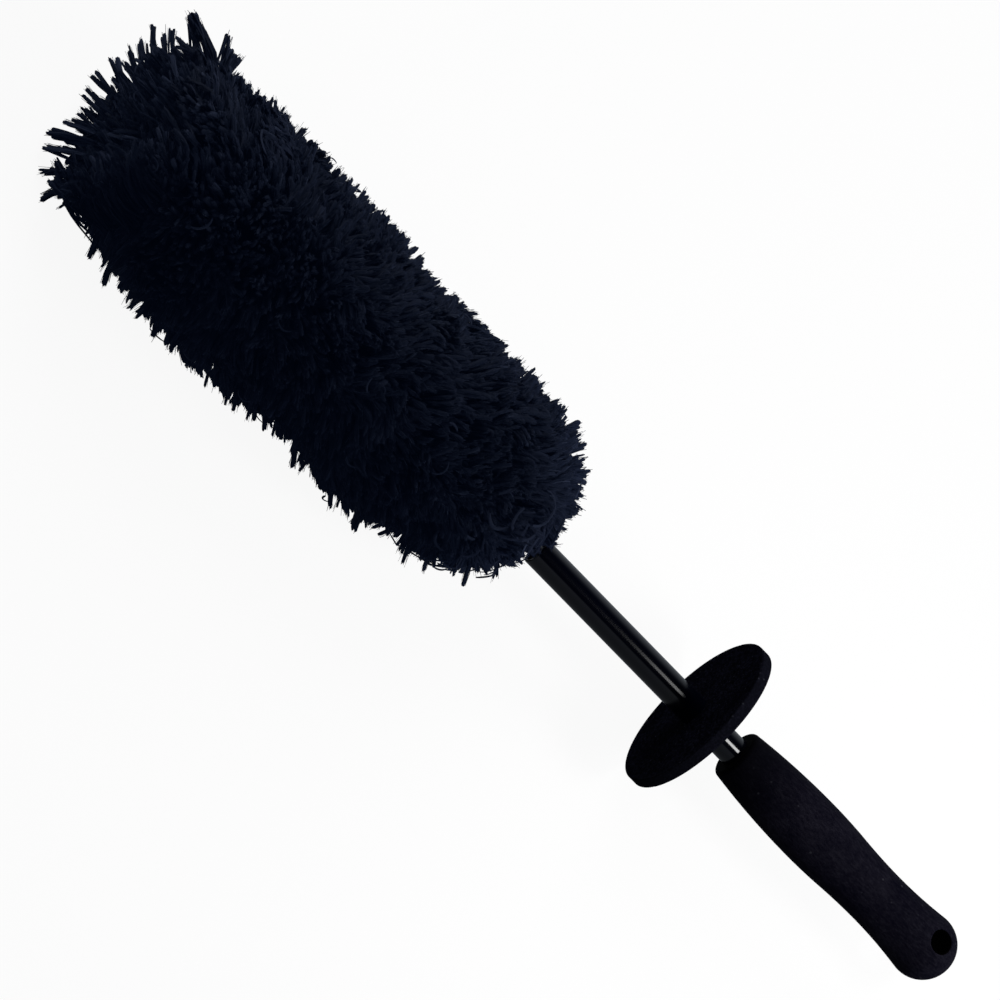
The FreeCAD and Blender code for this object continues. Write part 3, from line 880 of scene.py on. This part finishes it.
def build_curls():
    """Single yarns that lie curled on the pile, a good part of them near the shaft; their lighter tone
    is a painted sheen.
    """
    rng = np.random.default_rng(21)
    travel, angle = scatter(rng, CURLS)
    near_shaft = rng.uniform(size=CURLS) < CURLS_NEAR_SHAFT
    to_shaft = rng.uniform(0.2, 1.0, near_shaft.sum()) * PILE_R * MOUTH_ANGLE
    travel[near_shaft] = OUTLINE_LENGTH - to_shaft
    angle[near_shaft] = FRONT_SIDE + rng.normal(0, 0.7, near_shaft.sum())
    place, normal = outline_at(travel)
    share = (place[:, 0] - TIP_X) / (DOME_X - TIP_X)
    place = place + normal * sided(
        UPPER_FULLNESS, LOWER_FULLNESS, angle - UPPER_SIDE, share,
    )[:, None] * MM
    middle = to_space(place[:, 0], place[:, 1], angle)
    radial = to_space(np.zeros(CURLS), np.ones(CURLS), angle) - (0, 0, AXIS_Z)
    square = normal[:, :1] * np.array([1.0, 0, 0]) + normal[:, 1:] * radial
    first = unit(np.cross(square, rng.normal(size=square.shape)))
    second = np.cross(square, first)
    size = np.where(near_shaft, 1.35, 1.0)[:, None]
    bend = rng.uniform(3.0 * MM, 7 * MM, (CURLS, 1)) * size
    sweep = rng.uniform(0.9, 2.4, (CURLS, 1)) * np.linspace(-0.5, 0.5, CURL_RINGS)
    lift = rng.uniform(0.2 * MM, 2.4 * MM, (CURLS, 1)) - 1.8 * MM * (sweep / sweep.max()) ** 2
    lift += 3.5 * MM * looseness(share, angle)[:, None]
    lines = (
        middle[:, None]
        + first[:, None] * (bend * np.sin(sweep))[..., None]
        + second[:, None] * (bend * (np.cos(sweep) - 1))[..., None]
        + square[:, None] * lift[..., None]
    )
    half = rng.uniform(0.35 * MM, 0.6 * MM, (CURLS, 1)) * size
    half = half * np.array((0.5, 0.8, 0.95, 1, 1, 1, 0.95, 0.85, 0.6))
    turn = np.zeros(lines.shape[:2])
    points = tube(off_table(lines), half, half * 0.5, turn, CURL_SIDES, 1.0, square)
    # painted sheen: the curls are lighter than the other yarns
    tones = np.full(lines.shape[:2], 0.64) + rng.normal(0, 0.08, (CURLS, 1))
    salt = rng.uniform(size=CURLS)
    add_piece("pile_curls", tubes_mesh("pile_curls", [(points, tones, salt, square)], YARN))


CORE_INSET = 15 * MM
CORE_RINGS = 90  # some fewer in the end: those nearly on the axis are left out
CORE_SIDES = 72


def build_core():
    """A lumpy spindle inside the pile."""
    place, normal = outline_at(np.linspace(0, OUTLINE_LENGTH, CORE_RINGS))
    place = place - normal * CORE_INSET
    place = place[place[:, 1] > 0.5 * MM]
    rng = np.random.default_rng(3)
    angle = np.arange(CORE_SIDES) * 2 * math.pi / CORE_SIDES
    rings = [
        to_space(np.full(CORE_SIDES, x), radius * rng.normal(0.96, 0.03, CORE_SIDES), angle)
        for x, radius in place
    ]
    corners, counts = tube_faces(1, len(rings), CORE_SIDES, 0)
    faces = [tuple(face) for face in np.split(corners, np.cumsum(counts)[:-1])]
    mesh = bpy.data.meshes.new("pile_core")
    mesh.from_pydata(np.concatenate(rings).tolist(), [], faces)
    mesh.materials.append(ROOTS)
    mesh.update()
    add_piece("pile_core", mesh)


build_pile()
build_curls()
build_core()


# ---------------------------------------------------------------------------
# Stage: a pale floor that the object neither reflects nor is lit by, a pale backdrop, soft lights
# ---------------------------------------------------------------------------

FLOOR_R = 6.0
FLOOR_SIDES = 96
PAPER_GLOW = 0.92


def build_floor():
    """A round sheet of pale paper on the table."""
    turn = np.arange(FLOOR_SIDES) * 2 * math.pi / FLOOR_SIDES
    rim = [(FLOOR_R * math.cos(a), FLOOR_R * math.sin(a), 0) for a in turn]
    mesh = bpy.data.meshes.new("floor")
    mesh.from_pydata(rim, [], [tuple(range(FLOOR_SIDES))])
    material = bpy.data.materials.new("floor_paper")
    material.use_nodes = True
    tree = material.node_tree
    tree.nodes.remove(tree.nodes["Principled BSDF"])
    emission = tree.nodes.new("ShaderNodeEmission")
    emission.inputs["Strength"].default_value = PAPER_GLOW
    diffuse = tree.nodes.new("ShaderNodeBsdfDiffuse")
    diffuse.inputs["Color"].default_value = (0.08, 0.08, 0.08, 1)
    both = tree.nodes.new("ShaderNodeAddShader")
    tree.links.new(emission.outputs[0], both.inputs[0])
    tree.links.new(diffuse.outputs[0], both.inputs[1])
    tree.links.new(both.outputs[0], tree.nodes["Material Output"].inputs["Surface"])
    mesh.materials.append(material)
    floor = bpy.data.objects.new("floor", mesh)
    bpy.context.scene.collection.objects.link(floor)
    floor.visible_diffuse = False
    floor.visible_glossy = False
    floor.visible_shadow = False


def build_world():
    """A pale backdrop that lights dimly from both sides of the brush, and least from overhead."""
    world = bpy.data.worlds.new("surround")
    bpy.context.scene.world = world
    world.use_nodes = True
    tree = world.node_tree
    coordinates = tree.nodes.new("ShaderNodeTexCoord")
    split = tree.nodes.new("ShaderNodeSeparateXYZ")
    tree.links.new(coordinates.outputs["Generated"], split.inputs[0])
    around = tree.nodes.new("ShaderNodeMath")
    around.operation = "ARCTAN2"
    tree.links.new(split.outputs["Y"], around.inputs[0])
    tree.links.new(split.outputs["Z"], around.inputs[1])
    turn = tree.nodes.new("ShaderNodeMapRange")
    turn.inputs["From Min"].default_value = -math.pi
    turn.inputs["From Max"].default_value = math.pi
    tree.links.new(around.outputs[0], turn.inputs["Value"])
    dim = colour_ramp(tree, turn.outputs["Result"], [
        (0.5 + degrees / 360, tuple(radiance * tint for tint in (0.92, 1.0, 1.10)))
        for degrees, radiance in (
            (-180, 0.11), (-90, 0.14), (-50, 0.20), (-43, 0.01), (34, 0.01), (50, 0.09), (68, 0.34),
            (93, 0.42), (180, 0.22),
        )
    ])
    pale = tree.nodes.new("ShaderNodeBackground")
    pale.inputs["Color"].default_value = (0.96, 0.96, 0.96, 1)
    light = tree.nodes["Background"]
    tree.links.new(dim, light.inputs["Color"])
    seen = tree.nodes.new("ShaderNodeLightPath")
    pick = tree.nodes.new("ShaderNodeMixShader")
    tree.links.new(seen.outputs["Is Camera Ray"], pick.inputs[0])
    tree.links.new(light.outputs[0], pick.inputs[1])
    tree.links.new(pale.outputs[0], pick.inputs[2])
    tree.links.new(pick.outputs[0], tree.nodes["World Output"].inputs["Surface"])


def soft_light(name, towards, distance, size, radiance, aim):
    """A rectangular soft box facing the aim, its first size along the brush."""
    data = bpy.data.lights.new(name, "AREA")
    data.shape = "RECTANGLE"
    data.size, data.size_y = size
    data.energy = radiance * math.pi * size[0] * size[1]
    back = towards.normalized()
    length = (Vector((1, 0, 0)) - back * back.x).normalized()
    axes = Matrix((length, back.cross(length), back)).transposed().to_4x4()
    light = bpy.data.objects.new(name, data)
    light.matrix_world = Matrix.Translation(aim + back * distance) @ axes
    bpy.context.scene.collection.objects.link(light)
    return light


build_floor()
build_world()
HEAD = Vector(((TIP_X + DOME_X) / 2, 0, AXIS_Z))
SHAFT_MIDDLE = Vector((90 * MM, 0, AXIS_Z + TUBE_R))
# The key is off the upper side, the fill on the camera's side and the end light past the grip.
soft_light("key", TOWARDS * 0.12 + SIDE * 0.95 - Vector((0.35, 0, 0)), 1.8, (1.7, 1.5), 2.9, HEAD)
fill = soft_light("fill", TOWARDS - Vector((0.1, 0, 0)), 2.0, (1.6, 1.6), 0.15, HEAD)
fill.visible_glossy = False
end = soft_light("end", Vector((1, -0.05, 0.38)), 1.5, (0.9, 0.9), 5.5, HEAD)
end.visible_glossy = False
# Two narrow strips overhead, whose reflections are the streak along the shaft's rear part.
for name, start, stop, radiance in (("strip_near", 0.175, 0.21, 2.6), ("strip_far", 0.21, 0.30, 15.0)):
    back = Vector(((start + stop) / 2, -0.026, AXIS_Z + 0.30)) - SHAFT_MIDDLE
    soft_light(name, back, back.length, (stop - start, 0.105), radiance, SHAFT_MIDDLE)
bpy.context.scene.view_settings.view_transform = "Standard"
